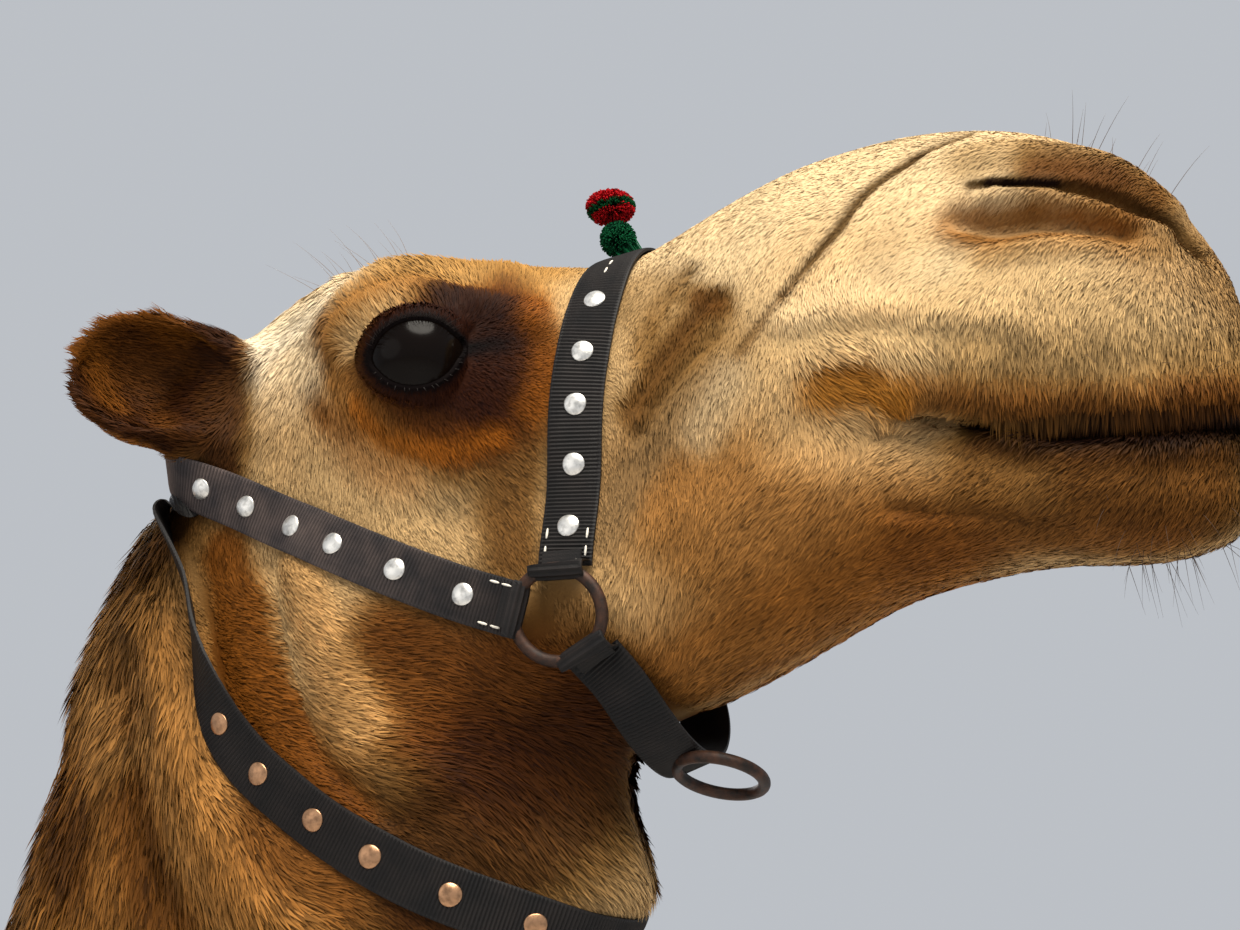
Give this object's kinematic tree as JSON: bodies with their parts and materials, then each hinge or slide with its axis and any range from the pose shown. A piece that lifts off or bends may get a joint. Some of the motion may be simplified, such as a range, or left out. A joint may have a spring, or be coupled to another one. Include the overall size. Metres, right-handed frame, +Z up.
{
  "type": "dromedary camel",
  "caption": "Standing dromedary camel with one hump, life size, wearing a riveted webbing halter with steel rings and a small yarn pompom.",
  "frame": {"origin": "on the floor, under the middle of the whole animal", "axes": "+X forward from tail to nose, +Y to the camel's left, +Z up"},
  "size_m": [2.6448, 0.6186, 2.2354],
  "materials": {
    "sandy_coat": "short sandy hair",
    "brown_coat": "brown hair, longer than on the face",
    "dark_coat": "long dark hair",
    "eye": "wet and dark",
    "horn": "dull horn",
    "webbing": "ribbed black webbing",
    "rusty_iron": "rust brown wire",
    "green_yarn": "wool yarn",
    "red_yarn": "wool yarn"
  },
  "bodies": {
    "root": {"ear_left": "brown_coat", "ear_right": "brown_coat", "eye_left": "eye", "eye_right": "eye", "foreleg_left_foot": "sandy_coat", "foreleg_left_lower": "sandy_coat", "foreleg_left_upper": "sandy_coat", "foreleg_right_foot": "sandy_coat", "foreleg_right_lower": "sandy_coat", "foreleg_right_upper": "sandy_coat", "halter_cheek_ring_left": "rusty_iron", "halter_cheek_ring_right": "rusty_iron", "halter_chin_ring": "rusty_iron", "halter_chin_strap": "webbing", "halter_crown": "webbing", "halter_noseband": "webbing", "halter_pompom_green": "green_yarn", "halter_pompom_red": "red_yarn", "halter_throat_strap": "webbing", "head": "sandy_coat", "hindleg_left_foot": "sandy_coat", "hindleg_left_lower": "sandy_coat", "hindleg_left_upper": "sandy_coat", "hindleg_right_foot": "sandy_coat", "hindleg_right_lower": "sandy_coat", "hindleg_right_upper": "sandy_coat", "hump": "brown_coat", "nail_fore_left_inner": "horn", "nail_fore_left_outer": "horn", "nail_fore_right_inner": "horn", "nail_fore_right_outer": "horn", "nail_hind_left_inner": "horn", "nail_hind_left_outer": "horn", "nail_hind_right_inner": "horn", "nail_hind_right_outer": "horn", "neck_base": "brown_coat", "neck_middle": "brown_coat", "neck_upper": "brown_coat", "tail": "sandy_coat", "tail_tuft": "dark_coat", "trunk": "sandy_coat"}
  },
  "joints": []
}
